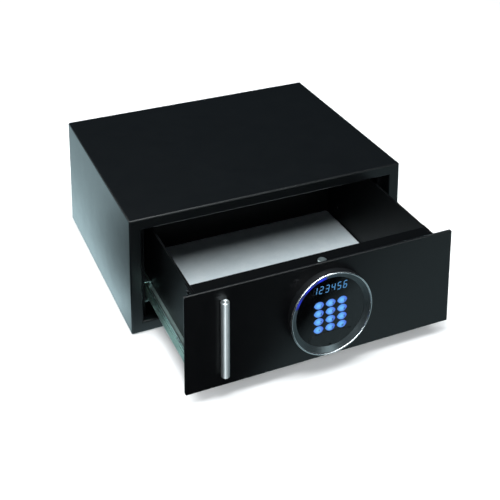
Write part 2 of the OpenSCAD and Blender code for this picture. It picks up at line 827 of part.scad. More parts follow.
// Rack outline in y and z: straight-flanked teeth, with a gap facing the pinion's centre
module rack_outline() {
    lean = tan(gear_alpha);
    half = pitch / 4 - backlash / 2;
    teeth = 8;
    top_z = bolt_top - bolt_round_len;
    translate([bolt_y - rack_back, gear_z - pitch * (teeth - 1)])
        square([2 * rack_back, top_z + 1 - gear_z + pitch * (teeth - 1)]);
    for (i = [-1 : teeth - 2])
        translate([rack_pitch_y, gear_z - pitch * (i + 0.5)]) polygon([
            [-dedendum - 0.5, -half - dedendum * lean],
            [-dedendum, -half - dedendum * lean],
            [addendum, -half + addendum * lean],
            [addendum, half - addendum * lean],
            [-dedendum, half + dedendum * lean],
            [-dedendum - 0.5, half + dedendum * lean]
        ]);
}

module lock_bolt() color(satin) on_drawer() {
    prism_x(keypad_x - rack_w / 2, rack_w) rack_outline();
    translate([keypad_x, bolt_y, bolt_top - bolt_round_len]) {
        cylinder(r = bolt_r, h = bolt_round_len - bolt_chamfer);
        translate([0, 0, bolt_round_len - bolt_chamfer])
            cylinder(r1 = bolt_r, r2 = bolt_r - bolt_chamfer, h = bolt_chamfer);
    }
}

cabinet_wrap();
rear_panel();
slide_bracket_left();
slide_bracket_right();
slide_outer_left();
slide_outer_right();
cabinet_screws();
strike_bracket();
rear_bumpers();
ball_retainer_left();
slide_balls_left();
ball_retainer_right();
slide_balls_right();
drawer_tray();
drawer_panel();
front_bracket_left();
front_bracket_right();
drawer_screws();
slide_inner_left();
slide_inner_right();
slide_screws();
lock_housing();
floor_mat();
handle_rod();
handle_screws();
keypad_housing();
chrome_ring();
bezel_ring();
status_light();
face_plate();
display_lens();
display_module();
key_mat();
keypad_board();
keypad_screws();
service_socket();
service_cover();
battery_holder();
batteries();
control_board();
ribbon_cable();
bolt_guide();
motor_bracket();
lock_motor();
drive_pinion();
lock_bolt();
key_1();
key_2();
key_3();
key_4();
key_5();
key_6();
key_7();
key_8();
key_9();
key_star();
key_0();
key_hash();
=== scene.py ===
"""Looks of the in-room drawer safe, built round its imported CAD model. Blender 4.5, metres."""

import math

import bmesh
import bpy
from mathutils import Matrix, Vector, noise


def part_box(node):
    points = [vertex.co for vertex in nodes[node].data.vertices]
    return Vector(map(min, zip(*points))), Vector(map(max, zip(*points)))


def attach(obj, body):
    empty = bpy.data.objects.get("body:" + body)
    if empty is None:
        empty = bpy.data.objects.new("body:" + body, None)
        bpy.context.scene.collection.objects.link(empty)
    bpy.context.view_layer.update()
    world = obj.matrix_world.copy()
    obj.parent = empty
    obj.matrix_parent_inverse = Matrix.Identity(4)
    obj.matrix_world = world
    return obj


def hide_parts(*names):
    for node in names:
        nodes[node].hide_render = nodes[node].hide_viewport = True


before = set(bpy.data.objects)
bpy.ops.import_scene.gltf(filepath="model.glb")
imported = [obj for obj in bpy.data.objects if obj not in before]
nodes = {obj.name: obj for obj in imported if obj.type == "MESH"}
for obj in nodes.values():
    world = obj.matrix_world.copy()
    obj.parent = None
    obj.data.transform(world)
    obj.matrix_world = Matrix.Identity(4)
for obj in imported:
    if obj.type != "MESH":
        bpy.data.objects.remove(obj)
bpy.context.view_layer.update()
scene = bpy.context.scene
MM = 0.001
NOISE_LOW, NOISE_HIGH = 0.3, 0.7  # the span that most of a noise texture's values fall in


def middle(name):
    """The centre of a CAD node's box."""
    lo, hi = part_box(name)
    return (lo + hi) / 2


# ---------- shader helpers ----------


class Shader:
    """A material's node tree, with short calls that add nodes and join them up."""

    def __init__(self, name):
        self.material = bpy.data.materials.new(name)
        self.material.use_nodes = True
        self.tree = self.material.node_tree
        self.tree.nodes.clear()
        self.output = self.tree.nodes.new("ShaderNodeOutputMaterial")
        self.coords = self.tree.nodes.new("ShaderNodeTexCoord").outputs["Object"]

    def add(self, kind, inputs=None, **settings):
        """A new node. Inputs are values, or sockets to link. Settings are the node's own properties."""
        node = self.tree.nodes.new(kind)
        for key, value in settings.items():
            setattr(node, key, value)
        for key, value in (inputs or {}).items():
            socket = node.inputs[key]
            if isinstance(value, bpy.types.NodeSocket):
                self.tree.links.new(value, socket)
            else:
                socket.default_value = value
        return node

    def noise(self, scale, detail=3.0, roughness=0.55, stretch=(1, 1, 1), distortion=0.0):
        """Noise of so many cells to the metre. A stretch below 1 draws it out along that axis."""
        mapped = self.add("ShaderNodeMapping", {"Vector": self.coords, "Scale": stretch}).outputs["Vector"]
        inputs = {"Vector": mapped, "Scale": scale, "Detail": detail}
        inputs.update({"Roughness": roughness, "Distortion": distortion})
        return self.add("ShaderNodeTexNoise", inputs).outputs["Fac"]

    def remap(self, value, low, high, to_low, to_high, easing="LINEAR"):
        """Takes low..high to to_low..to_high, and holds the ends."""
        inputs = {"Value": value, "From Min": low, "From Max": high, "To Min": to_low, "To Max": to_high}
        return self.add("ShaderNodeMapRange", inputs, interpolation_type=easing).outputs["Result"]

    def spread(self, noise_value, to_low=0.0, to_high=1.0):
        """Noise stretched over to_low..to_high."""
        return self.remap(noise_value, NOISE_LOW, NOISE_HIGH, to_low, to_high)

    def smooth(self, value, low, high, to_low, to_high):
        """As remap, but easing in and out."""
        return self.remap(value, low, high, to_low, to_high, "SMOOTHSTEP")

    def math(self, operation, a, b=0.0):
        return self.add("ShaderNodeMath", {0: a, 1: b}, operation=operation).outputs[0]

    def times(self, *values):
        """The product of two or more values."""
        product = values[0]
        for value in values[1:]:
            product = self.math("MULTIPLY", product, value)
        return product

    def vector_math(self, operation, output, inputs):
        return self.add("ShaderNodeVectorMath", inputs, operation=operation).outputs[output]

    def varied(self, base, value, amount):
        """base, moved up and down by a 0 to 1 noise around its middle, amount from end to end."""
        return self.math("ADD", base, self.times(self.math("SUBTRACT", value, 0.5), amount))

    def mix(self, factor, a, b):
        node = self.add("ShaderNodeMix", {"Factor": factor}, data_type="RGBA")
        for index, value in ((6, a), (7, b)):
            if isinstance(value, bpy.types.NodeSocket):
                self.tree.links.new(value, node.inputs[index])
            else:
                node.inputs[index].default_value = (*value, 1)
        return node.outputs[2]

    def bump(self, height, strength, distance, normal=None):
        inputs = {"Height": height, "Strength": strength, "Distance": distance}
        if normal is not None:
            inputs["Normal"] = normal
        return self.add("ShaderNodeBump", inputs).outputs["Normal"]

    def edges(self, radius, low=0.02, high=0.25):
        """0 on flat surfaces and 1 on edges, from how far a rounded normal leans away from the true one."""
        rounded = self.add("ShaderNodeBevel", {"Radius": radius}, samples=6).outputs["Normal"]
        true = self.add("ShaderNodeNewGeometry").outputs["Normal"]
        along = self.vector_math("DOT_PRODUCT", "Value", {0: rounded, 1: true})
        return self.remap(self.math("SUBTRACT", 1.0, along), low, high, 0.0, 1.0)

    def separate(self, vector=None):
        """The x, y and z of a vector, or of the object's own coordinates."""
        source = self.coords if vector is None else vector
        return self.add("ShaderNodeSeparateXYZ", {"Vector": source}).outputs

    def principled(self, **inputs):
        """The finished material. Inputs are the shader's own, with _ for a space. Colours need no alpha."""
        named = {}
        for key, value in inputs.items():
            named[key.replace("_", " ")] = (*value, 1) if isinstance(value, tuple) else value
        node = self.add("ShaderNodeBsdfPrincipled", named)
        self.tree.links.new(node.outputs["BSDF"], self.output.inputs["Surface"])
        return self.material

    def plated_grain(self):
        return self.bump(self.noise(900.0, 3.0), 0.12, 0.05 * MM)

    def lens_grain(self):
        return self.bump(self.noise(1200.0, 2.0), 0.15, 0.04 * MM)


def scaled(colour, factor):
    return tuple(c * factor for c in colour)


def paint(name, base, rough=0.36, specular=0.5, grain=0.3):
    """Satin powder coat: fine orange peel, slight changes of colour and gloss, and edges rubbed lighter."""
    s = Shader(name)
    fine = s.noise(1500.0, 2.0, 0.5)
    peel = s.noise(520.0, 2.0, 0.45)
    worn = s.times(s.edges(0.9 * MM), s.remap(s.noise(160.0, 4.0), 0.35, 0.75, 0.15, 0.9))
    cloud = s.spread(s.noise(9.0, 4.0))
    shade = s.mix(cloud, scaled(base, 0.9), scaled(base, 1.1))
    rubbed = (0.06, 0.066, 0.072)
    gloss = s.spread(s.noise(38.0, 5.0, 0.6), rough - 0.014, rough + 0.014)
    return s.principled(
        Base_Color=s.mix(s.times(worn, 0.4), shade, rubbed),
        Roughness=s.varied(gloss, fine, 0.12),
        Specular_IOR_Level=specular,
        Normal=s.bump(fine, grain * 0.5, 0.06 * MM, s.bump(peel, grain, 0.22 * MM)),
    )


def metal(name, base, rough, brush=None, spangle=0.0, scratch=0.25, tarnish=(0.3, 0.3, 0.3)):
    """Bare or plated metal, dulled in patches and finely scratched, and brushed or spangled when asked."""
    s = Shader(name)
    dulled = tuple(b * (0.6 + 0.4 * t) for b, t in zip(base, tarnish))
    shade = s.mix(s.spread(s.noise(24.0, 4.0), 0.0, 0.35), base, dulled)
    gloss = s.spread(s.noise(70.0, 5.0), rough * 0.8, rough * 1.25)
    normal = s.plated_grain()
    if spangle:
        cells = s.add("ShaderNodeTexVoronoi", {"Vector": s.coords, "Scale": 260.0})
        tint = s.add("ShaderNodeSeparateColor", {"Color": cells.outputs["Color"]}).outputs[0]
        shade = s.mix(s.times(tint, spangle), shade, scaled(base, 1.25))
        gloss = s.varied(gloss, tint, 0.16)
    if brush:
        lines = s.noise(700.0, 3.0, 0.6, stretch=brush)
        gloss = s.varied(gloss, lines, 0.3)
        normal = s.bump(lines, 0.3, 0.04 * MM, normal)
    if scratch:
        marks = s.noise(90.0, 2.0, 0.3, stretch=(1, 14, 1), distortion=1.5)
        normal = s.bump(s.remap(marks, 0.62, 0.66, 0.0, 1.0), scratch * 0.4, 0.03 * MM, normal)
    return s.principled(Base_Color=shade, Metallic=1.0, Roughness=gloss, Normal=normal)


def plastic(name, base, rough=0.45, specular=0.4, grain=900.0, depth=0.06 * MM):
    """Moulded plastic or rubber: fine spark-eroded grain and slight changes of shade and gloss."""
    s = Shader(name)
    cloud = s.spread(s.noise(40.0, 4.0))
    return s.principled(
        Base_Color=s.mix(cloud, scaled(base, 0.85), scaled(base, 1.15)),
        Roughness=s.spread(s.noise(120.0, 4.0), rough * 0.88, min(1.0, rough * 1.12)),
        Specular_IOR_Level=specular,
        Normal=s.bump(s.noise(grain, 2.0), 0.4, depth),
    )


# ---------- materials ----------

black_paint = paint("black_paint", (0.0011, 0.0017, 0.0022), specular=0.42)
panel_paint = paint("panel_paint", (0.0013, 0.0015, 0.0020), rough=0.33)
# Painted shade: a darker, less glossy copy of the black paint, so the drawer's tray, lock housing and
# brackets look as dim as they do in shade.
inner_paint_shaded = paint("inner_paint_shaded", (0.0010, 0.0012, 0.0015), rough=0.42, specular=0.12)

screw_steel = metal("screw_steel", (0.56, 0.57, 0.58), 0.28, scratch=0.4)
black_screw = metal("black_screw", (0.05, 0.052, 0.055), 0.34, scratch=0.4)
ball_steel = metal("ball_steel", (0.8, 0.81, 0.82), 0.08, scratch=0.0)
brass = metal("brass", (0.78, 0.58, 0.25), 0.26, tarnish=(0.5, 0.4, 0.2))
bolt_steel = metal("bolt_steel", (0.50, 0.58, 0.58), 0.36, scratch=0.6)
motor_steel = metal("motor_steel", (0.6, 0.6, 0.57), 0.3, spangle=0.1)
battery_case = metal("battery_case", (0.22, 0.24, 0.26), 0.3, brush=(1, 1, 0.02))

black_plastic = plastic("black_plastic", (0.004, 0.0045, 0.0055))
guide_plastic = plastic("guide_plastic", (0.62, 0.61, 0.57), rough=0.38)
rubber = plastic("rubber", (0.018, 0.018, 0.018), rough=0.75, specular=0.25, grain=500.0, depth=0.12 * MM)


def slide_metal():
    """Zinc-plated rolled steel: rolling lines run along it, some of them duller than others."""
    s = Shader("slide_zinc")
    bands = s.noise(330.0, 1.0, 0.4, stretch=(0.6, 0.0, 1.0))
    lines = s.noise(700.0, 3.0, 0.6, stretch=(1, 0.03, 1))
    cloud = s.spread(s.noise(24.0, 4.0))
    return s.principled(
        Base_Color=s.mix(cloud, (0.58, 0.74, 0.71), (0.46, 0.62, 0.59)),
        Metallic=1.0,
        Roughness=s.varied(s.remap(bands, 0.35, 0.65, 0.2, 0.42), lines, 0.2),
        Normal=s.bump(lines, 0.25, 0.04 * MM),
    )


def handle_metal():
    """Satin anodised aluminium, with fine lines turned round the rod that draw its highlight out along it."""
    s = Shader("handle_metal")
    lines = s.noise(1100.0, 3.0, 0.6, stretch=(0.04, 0.04, 1.0))
    cloud = s.spread(s.noise(60.0, 3.0))
    return s.principled(
        Base_Color=s.mix(cloud, (0.72, 0.77, 0.78), (0.80, 0.84, 0.85)),
        Metallic=1.0,
        Roughness=s.varied(0.6, lines, 0.16),
        Anisotropic=0.8,
        Anisotropic_Rotation=0.25,
        Tangent=s.add("ShaderNodeTangent", direction_type="RADIAL", axis="Z").outputs[0],
        Normal=s.bump(lines, 0.12, 0.03 * MM),
    )


def ring_metal():
    """The keypad's outer ring: a bright plated bead at the front of a black moulding."""
    s = Shader("ring_metal")
    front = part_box("chrome_ring")[0].y
    depth = s.math("SUBTRACT", s.separate()[1], front)
    dark = s.remap(depth, 1.3 * MM, 1.6 * MM, 0.0, 1.0)
    return s.principled(
        Base_Color=s.mix(dark, (0.78, 0.80, 0.81), (0.004, 0.0045, 0.0055)),
        Metallic=s.math("SUBTRACT", 1.0, dark),
        Roughness=s.spread(s.noise(160.0, 4.0), 0.2, 0.27),
        Specular_IOR_Level=0.35,
        Normal=s.plated_grain(),
    )


def bezel_metal():
    """Satin metal-look plastic turned round the keypad's axis."""
    s = Shader("bezel_metal")
    pad = middle("bezel_ring")
    offset = s.vector_math("ADD", "Vector", {0: s.coords, 1: (-pad.x, 0, -pad.z)})
    x, _, z = s.separate(offset)
    radius = s.math("SQRT", s.math("ADD", s.times(x, x), s.times(z, z)))
    wobble = s.times(s.noise(300.0, 2.0), 0.4 * MM)
    outward = s.add("ShaderNodeCombineXYZ", {"X": s.math("ADD", radius, wobble)}).outputs[0]
    rings = s.add("ShaderNodeTexNoise", {"Vector": outward, "Scale": 2600.0, "Detail": 2.0}).outputs["Fac"]
    cloud = s.spread(s.noise(45.0))
    return s.principled(
        Base_Color=s.mix(cloud, (0.058, 0.073, 0.078), (0.078, 0.095, 0.100)),
        Metallic=0.85,
        Roughness=s.varied(0.3, rings, 0.25),
        Normal=s.bump(rings, 0.2, 0.03 * MM),
    )


def gloss_black(name, rough=0.06):
    """Polished black acrylic with faint haze, not quite flat."""
    s = Shader(name)
    haze = s.remap(s.noise(55.0, 5.0, 0.6), 0.45, 0.75, 0.0, 1.0)
    return s.principled(
        Base_Color=s.mix(haze, (0.0008, 0.0009, 0.0011), (0.0018, 0.0020, 0.0024)),
        Roughness=s.math("ADD", rough, s.times(haze, 0.05)),
        Specular_IOR_Level=0.45,
        Coat_Weight=0.3,
        Coat_Roughness=0.03,
        Normal=s.bump(s.noise(26.0, 2.0), 0.05, 0.2 * MM),
    )


def glow(name, colour, strength, base, rim_colour=None, centre=None, reach=0.0, rough=0.3):
    """A part lit from behind. Given its lamp's place, it fades to rim_colour over the distance reach."""
    s = Shader(name)
    speck = s.spread(s.noise(900.0, 2.0), 0.95, 1.05)
    if centre is not None:
        to_lamp = s.vector_math("DISTANCE", "Value", {0: s.coords, 1: centre})
        colour = s.mix(s.smooth(to_lamp, 0.0, reach, 0.0, 1.0), colour, rim_colour)
    return s.principled(
        Base_Color=base,
        Roughness=rough,
        Specular_IOR_Level=0.3,
        Emission_Color=colour,
        Emission_Strength=s.times(speck, strength),
        Normal=s.lens_grain(),
    )


def lamp_arc():
    """The status light's diffuser: three lamps behind it make three brighter places along its arc."""
    first, spacing = math.radians(106), math.radians(23)
    s = Shader("lamp_blue")
    pad = middle("bezel_ring")
    x, _, z = s.separate()
    angle = s.math("ARCTAN2", s.math("SUBTRACT", z, pad.z), s.math("SUBTRACT", x, pad.x))
    turns = s.math("DIVIDE", s.math("SUBTRACT", angle, first), spacing)
    level = s.remap(s.math("COSINE", s.times(turns, 2 * math.pi)), -1.0, 1.0, 0.16, 1.0)
    level = s.times(level, s.remap(turns, 0.0, 2.0, 1.0, 0.62))
    speck = s.spread(s.noise(900.0, 2.0), 0.93, 1.05)
    return s.principled(
        Base_Color=(0.004, 0.006, 0.04),
        Roughness=0.3,
        Specular_IOR_Level=0.2,
        Emission_Color=(0.008, 0.018, 0.75),
        Emission_Strength=s.times(level, speck),
        Normal=s.lens_grain(),
    )


def circuit_board():
    """Green solder mask over raised copper tracks."""
    s = Shader("circuit_board")
    cells = {"Vector": s.coords, "Scale": 190.0}
    border = s.add("ShaderNodeTexVoronoi", cells, feature="DISTANCE_TO_EDGE").outputs[0]
    tracks = s.remap(border, 0.04, 0.07, 1.0, 0.0)
    return s.principled(
        Base_Color=s.mix(tracks, (0.012, 0.085, 0.035), (0.03, 0.16, 0.07)),
        Roughness=0.32,
        Specular_IOR_Level=0.5,
        Normal=s.bump(tracks, 0.4, 0.05 * MM),
    )


def ribbon():
    """Flat cable: parallel insulated cores at a pitch of 1 mm."""
    s = Shader("ribbon")
    wave = s.math("SINE", s.times(s.separate()[2], 2 * math.pi / (1.0 * MM)))
    shade = s.mix(s.remap(wave, -1, 1, 0, 1), (0.10, 0.10, 0.105), (0.30, 0.30, 0.31))
    return s.principled(Base_Color=shade, Roughness=0.5, Normal=s.bump(wave, 0.6, 0.2 * MM))


def felt():
    """Needle-punched felt: tangled fibres, soft mottling and a pale sheen."""
    s = Shader("felt")
    fibre_a = s.noise(520.0, 6.0, 0.75, stretch=(1, 0.25, 1), distortion=1.2)
    fibre_b = s.noise(520.0, 6.0, 0.75, stretch=(0.25, 1, 1), distortion=1.2)
    fibres = s.math("MAXIMUM", fibre_a, fibre_b)
    mottle = s.noise(34.0, 5.0, 0.6)
    light = s.remap(s.math("ADD", s.times(mottle, 0.55), s.times(fibres, 0.45)), 0.35, 0.68, 0, 1)
    return s.principled(
        Base_Color=s.mix(light, (0.66, 0.75, 0.79), (0.80, 0.87, 0.90)),
        Roughness=0.95,
        Specular_IOR_Level=0.15,
        Sheen_Weight=0.45,
        Sheen_Roughness=0.5,
        Sheen_Tint=(0.85, 0.92, 0.95),
        Normal=s.bump(fibres, 0.8, 0.5 * MM, s.bump(mottle, 0.25, 0.6 * MM)),
    )


slide_zinc = slide_metal()
handle_satin = handle_metal()
bezel_satin = bezel_metal()
chrome = ring_metal()
face_black = gloss_black("face_black")
cover_black = gloss_black("cover_black", rough=0.1)
board_green = circuit_board()
ribbon_grey = ribbon()
felt_grey = felt()
lamp_blue = lamp_arc()

# ---------- CAD nodes: materials and softened edges ----------

SHARP = math.radians(32)  # an edge that turns more than this stays sharp, or is bevelled
FLAT = math.radians(0.3)  # faces that turn less than this are one flat face
WELD = 0.004 * MM


def shade_group():
    """Geometry nodes that smooth everything but the sharp edges."""
    group = bpy.data.node_groups.new("shade_by_angle", "GeometryNodeTree")
    for way in ("INPUT", "OUTPUT"):
        group.interface.new_socket("Geometry", in_out=way, socket_type="NodeSocketGeometry")
    entry = group.nodes.new("NodeGroupInput")
    leave = group.nodes.new("NodeGroupOutput")
    angle = group.nodes.new("GeometryNodeInputMeshEdgeAngle")
    under = group.nodes.new("FunctionNodeCompare")
    under.data_type = "FLOAT"
    under.operation = "LESS_THAN"
    under.inputs["B"].default_value = SHARP
    faces = group.nodes.new("GeometryNodeSetShadeSmooth")
    faces.domain = "FACE"
    edges = group.nodes.new("GeometryNodeSetShadeSmooth")
    edges.domain = "EDGE"
    group.links.new(angle.outputs["Unsigned Angle"], under.inputs["A"])
    group.links.new(entry.outputs[0], faces.inputs["Geometry"])
    group.links.new(faces.outputs[0], edges.inputs["Geometry"])
    group.links.new(under.outputs[0], edges.inputs["Shade Smooth"])
    group.links.new(edges.outputs[0], leave.inputs[0])
    return group


SHADE = shade_group()


def soften(obj, width, segments, plate):
    """Bevels sharp edges if given a width, and smooths curves. Bevelled parts and plates keep their flats."""
    weld = obj.modifiers.new("weld", "WELD")
    weld.merge_threshold = WELD
    if width:
        flat = obj.modifiers.new("flat", "DECIMATE")
        flat.decimate_type = "DISSOLVE"
        flat.angle_limit = FLAT
        bevel = obj.modifiers.new("bevel", "BEVEL")
        bevel.width = width
        bevel.segments = segments
        bevel.limit_method = "ANGLE"
        bevel.angle_limit = SHARP
        bevel.miter_outer = "MITER_ARC"
    obj.modifiers.new("shade", "NODES").node_group = SHADE
    if width or plate:
        normals = obj.modifiers.new("normals", "WEIGHTED_NORMAL")
        normals.keep_sharp = True
        normals.weight = 80


def finish_cad(names, material, width=0.0, segments=3, plate=False):
    """Gives CAD nodes, named in one string, their material and edge radius. Their meshes stay as they are."""
    for name in names.split():
        obj = nodes[name]
        obj.data.materials.clear()
        obj.data.materials.append(material)
        soften(obj, width, segments, plate)


finish_cad("cabinet_wrap", black_paint, plate=True)
finish_cad("rear_panel", black_paint, 0.4 * MM)
finish_cad("drawer_panel", panel_paint, plate=True)
# These parts take the painted-shade copy of the black paint.
finish_cad("drawer_tray lock_housing", inner_paint_shaded, 0.35 * MM)
finish_cad("front_bracket_left front_bracket_right", inner_paint_shaded, 0.4 * MM)
finish_cad("slide_bracket_left slide_bracket_right strike_bracket", inner_paint_shaded, 0.3 * MM)
finish_cad("slide_outer_left slide_outer_right slide_inner_left slide_inner_right", slide_zinc, 0.25 * MM)
finish_cad("cabinet_screws slide_screws handle_screws keypad_screws", screw_steel)
finish_cad("drawer_screws", black_screw)
finish_cad("slide_balls_left slide_balls_right", ball_steel)
finish_cad("ball_retainer_left ball_retainer_right drive_pinion", brass)
finish_cad("motor_bracket lock_motor", motor_steel, 0.2 * MM, segments=2)
finish_cad("lock_bolt", bolt_steel)
finish_cad("rear_bumpers key_mat", rubber, 0.3 * MM)
finish_cad("handle_rod", handle_satin, 0.45 * MM)
finish_cad("keypad_housing display_module service_socket battery_holder", black_plastic, 0.25 * MM)
finish_cad("chrome_ring", chrome)
finish_cad("bezel_ring", bezel_satin)
finish_cad("status_light", lamp_blue)
finish_cad("face_plate display_lens", face_black)
finish_cad("service_cover", cover_black, 0.4 * MM)
finish_cad("keypad_board control_board", board_green)
finish_cad("ribbon_cable", ribbon_grey)
finish_cad("batteries", battery_case, 0.5 * MM)
finish_cad("bolt_guide", guide_plastic, 0.4 * MM)

# ---------- pieces made here ----------


def from_bmesh(name, bm, material, body, smooth=True):
    """A piece that rides on a CAD body, from a bmesh, which is used up."""
    bmesh.ops.recalc_face_normals(bm, faces=bm.faces)
    mesh = bpy.data.meshes.new(name)
    bm.to_mesh(mesh)
    bm.free()
    obj = bpy.data.objects.new(name, mesh)
    scene.collection.objects.link(obj)
    mesh.materials.append(material)
    for polygon in mesh.polygons:
        polygon.use_smooth = smooth
    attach(obj, body)
    return obj


def extrude_outline(bm, outline, front, back):
    """A closed outline in x and z, made solid from y = front to y = back."""
    near = [bm.verts.new((x, front, z)) for x, z in outline]
    far = [bm.verts.new((x, back, z)) for x, z in outline]
    bm.faces.new(near)
    bm.faces.new(list(reversed(far)))
    count = len(outline)
    for i in range(count):
        j = (i + 1) % count
        bm.faces.new((near[i], far[i], far[j], near[j]))


# ---------- display ----------

PAD = middle("face_plate")
FACE_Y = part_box("face_plate")[0].y
DIGIT_PROUD, DIGIT_ROOT = 0.06 * MM, 0.2 * MM  # in front of the face, and behind its surface
DIGIT_W, DIGIT_H = 6.3 * MM, 12.0 * MM
SEGMENT_T = 1.15 * MM
SEGMENT_GAP = SEGMENT_T * 0.16  # left free at each end of a segment
DIGIT_STEP = 9.9 * MM
DIGIT_X = PAD.x - 26.0 * MM  # the first digit's middle
DIGIT_Z = PAD.z + 40.0 * MM
SLANT = math.tan(math.radians(9))
SHOWN = "123456"
ALL_SEGMENTS = "abcdefg"
LIT_SEGMENTS = {"1": "bc", "2": "abged", "3": "abgcd", "4": "fgbc", "5": "afgcd", "6": "afgedc"}


def segment_outline(which):
    """One segment as a six-sided outline, in a digit centred on 0, 0."""
    t = SEGMENT_T / 2
    half_w, half_h = DIGIT_W / 2 - t, DIGIT_H / 2 - t
    ends = {
        "a": ((-half_w, half_h), (half_w, half_h)),
        "d": ((-half_w, -half_h), (half_w, -half_h)),
        "g": ((-half_w, 0), (half_w, 0)),
        "f": ((-half_w, 0), (-half_w, half_h)),
        "b": ((half_w, 0), (half_w, half_h)),
        "e": ((-half_w, -half_h), (-half_w, 0)),
        "c": ((half_w, -half_h), (half_w, 0)),
    }[which]
    (x0, z0), (x1, z1) = ends
    length = math.hypot(x1 - x0, z1 - z0)
    ux, uz = (x1 - x0) / length, (z1 - z0) / length
    vx, vz = -uz, ux
    start, end = SEGMENT_GAP, length - SEGMENT_GAP
    points = [(start, 0), (start + t, t), (end - t, t), (end, 0), (end - t, -t), (start + t, -t)]
    return [(x0 + ux * p + vx * q, z0 + uz * p + vz * q) for p, q in points]


def digit_segments(bm, segments, x):
    """Adds some segments of the digit whose centre is at x."""
    for which in segments:
        outline = [(x + px + pz * SLANT, DIGIT_Z + pz) for px, pz in segment_outline(which)]
        extrude_outline(bm, outline, FACE_Y - DIGIT_PROUD, FACE_Y + DIGIT_ROOT)


digit_glow = glow("digit_glow", (0.10, 0.40, 0.86), 0.62, (0.03, 0.06, 0.10), rough=0.25)
ghost_grey = plastic("ghost_grey", (0.005, 0.008, 0.013), rough=0.3)
lit, unlit = bmesh.new(), bmesh.new()
for index, digit in enumerate(SHOWN):
    at = DIGIT_X + index * DIGIT_STEP
    digit_segments(lit, LIT_SEGMENTS[digit], at)
    digit_segments(unlit, [c for c in ALL_SEGMENTS if c not in LIT_SEGMENTS[digit]], at)
from_bmesh("display_digits", lit, digit_glow, "drawer", smooth=False)
from_bmesh("display_unlit_segments", unlit, ghost_grey, "drawer", smooth=False)

# ---------- keys and their numerals ----------

KEYS = ["1", "2", "3", "4", "5", "6", "7", "8", "9", "star", "0", "hash"]
SIGNS = {"star": "*", "hash": "#"}
CROWN_R = 22.0 * MM  # the domed key top's radius, as in the CAD
LEGEND_SIZE = 6.0 * MM
LEGEND_PROUD, LEGEND_ROOT = 0.14 * MM, 0.2 * MM  # above the key's dome, and below it
LEGEND_WELD = 0.002 * MM
NUMERAL_AT = (3.3 * MM, -1.3 * MM)  # from the key's middle, right and up
SIGN_AT = (0.6 * MM, -1.2 * MM)
LAMP_AT = (-1.6 * MM, 0.5 * MM)  # where the lamp behind a key shows brightest
LAMP_REACH = 8.5 * MM
legend_blue = plastic("legend_blue", (0.003, 0.009, 0.05), rough=0.45)


def text_mesh(text, size):
    """The flat outline of some text, as a mesh in x and y."""
    curve = bpy.data.curves.new("legend_curve", "FONT")
    curve.body = text
    curve.size = size
    curve.resolution_u = 4
    curve.extrude = 0.0
    curve.align_x = "CENTER"
    curve.align_y = "CENTER"
    temp = bpy.data.objects.new("legend_temp", curve)
    scene.collection.objects.link(temp)
    bpy.context.view_layer.update()
    evaluated = temp.evaluated_get(bpy.context.evaluated_depsgraph_get())
    mesh = bpy.data.meshes.new_from_object(evaluated)
    bpy.data.objects.remove(temp)
    bpy.data.curves.remove(curve)
    return mesh


def legend(key, tip):
    """A key's numeral or sign, a thin solid that follows the key's dome. tip is the dome's foremost point."""
    flat = text_mesh(SIGNS.get(key, key), LEGEND_SIZE)
    bm = bmesh.new()
    bm.from_mesh(flat)
    bpy.data.meshes.remove(flat)
    bmesh.ops.remove_doubles(bm, verts=bm.verts, dist=LEGEND_WELD)
    right, up = SIGN_AT if key in SIGNS else NUMERAL_AT
    centre_x, centre_z = tip.x + right, tip.z + up
    for vert in bm.verts:
        vert.co = Vector((centre_x + vert.co.x, 0.0, centre_z + vert.co.y))
    made = bmesh.ops.extrude_face_region(bm, geom=list(bm.faces))
    front = {v for v in made["geom"] if isinstance(v, bmesh.types.BMVert)}
    for vert in bm.verts:
        dx, dz = vert.co.x - tip.x, vert.co.z - tip.z
        dome = CROWN_R - math.sqrt(max(0.0, CROWN_R**2 - dx * dx - dz * dz))
        vert.co.y = tip.y + dome + (-LEGEND_PROUD if vert in front else LEGEND_ROOT)
    from_bmesh("numeral_" + key, bm, legend_blue, "key_" + key, smooth=False)


for key in KEYS:
    centre = middle("key_" + key)
    tip = Vector((centre.x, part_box("key_" + key)[0].y, centre.z))
    lamp = Vector((tip.x + LAMP_AT[0], tip.y, tip.z + LAMP_AT[1]))
    key_light = glow(
        "key_light_" + key, (0.16, 0.58, 1.0), 0.80, (0.03, 0.06, 0.14),
        rim_colour=(0.05, 0.13, 0.72), centre=lamp, reach=LAMP_REACH,
    )
    finish_cad("key_" + key, key_light)
    legend(key, tip)

# ---------- felt on the drawer floor ----------

FELT_INSET = 0.6 * MM
FELT_CORNER = 5 * MM
FELT_CELLS = (130, 104)
FELT_WAVES = ((16, 3.1, 0.22 * MM), (190, 7.7, 0.10 * MM))  # cells per metre, slice of the noise, height
FELT_EDGE_DROP = {0: 1.25 * MM, 1: 0.35 * MM}  # how far the outermost rows lie below the rest
FELT_TOP = -0.25 * MM  # the mean surface, from the CAD mat's top
FELT_TOP_LIMIT = 0.3 * MM
FELT_BASE = 0.02 * MM


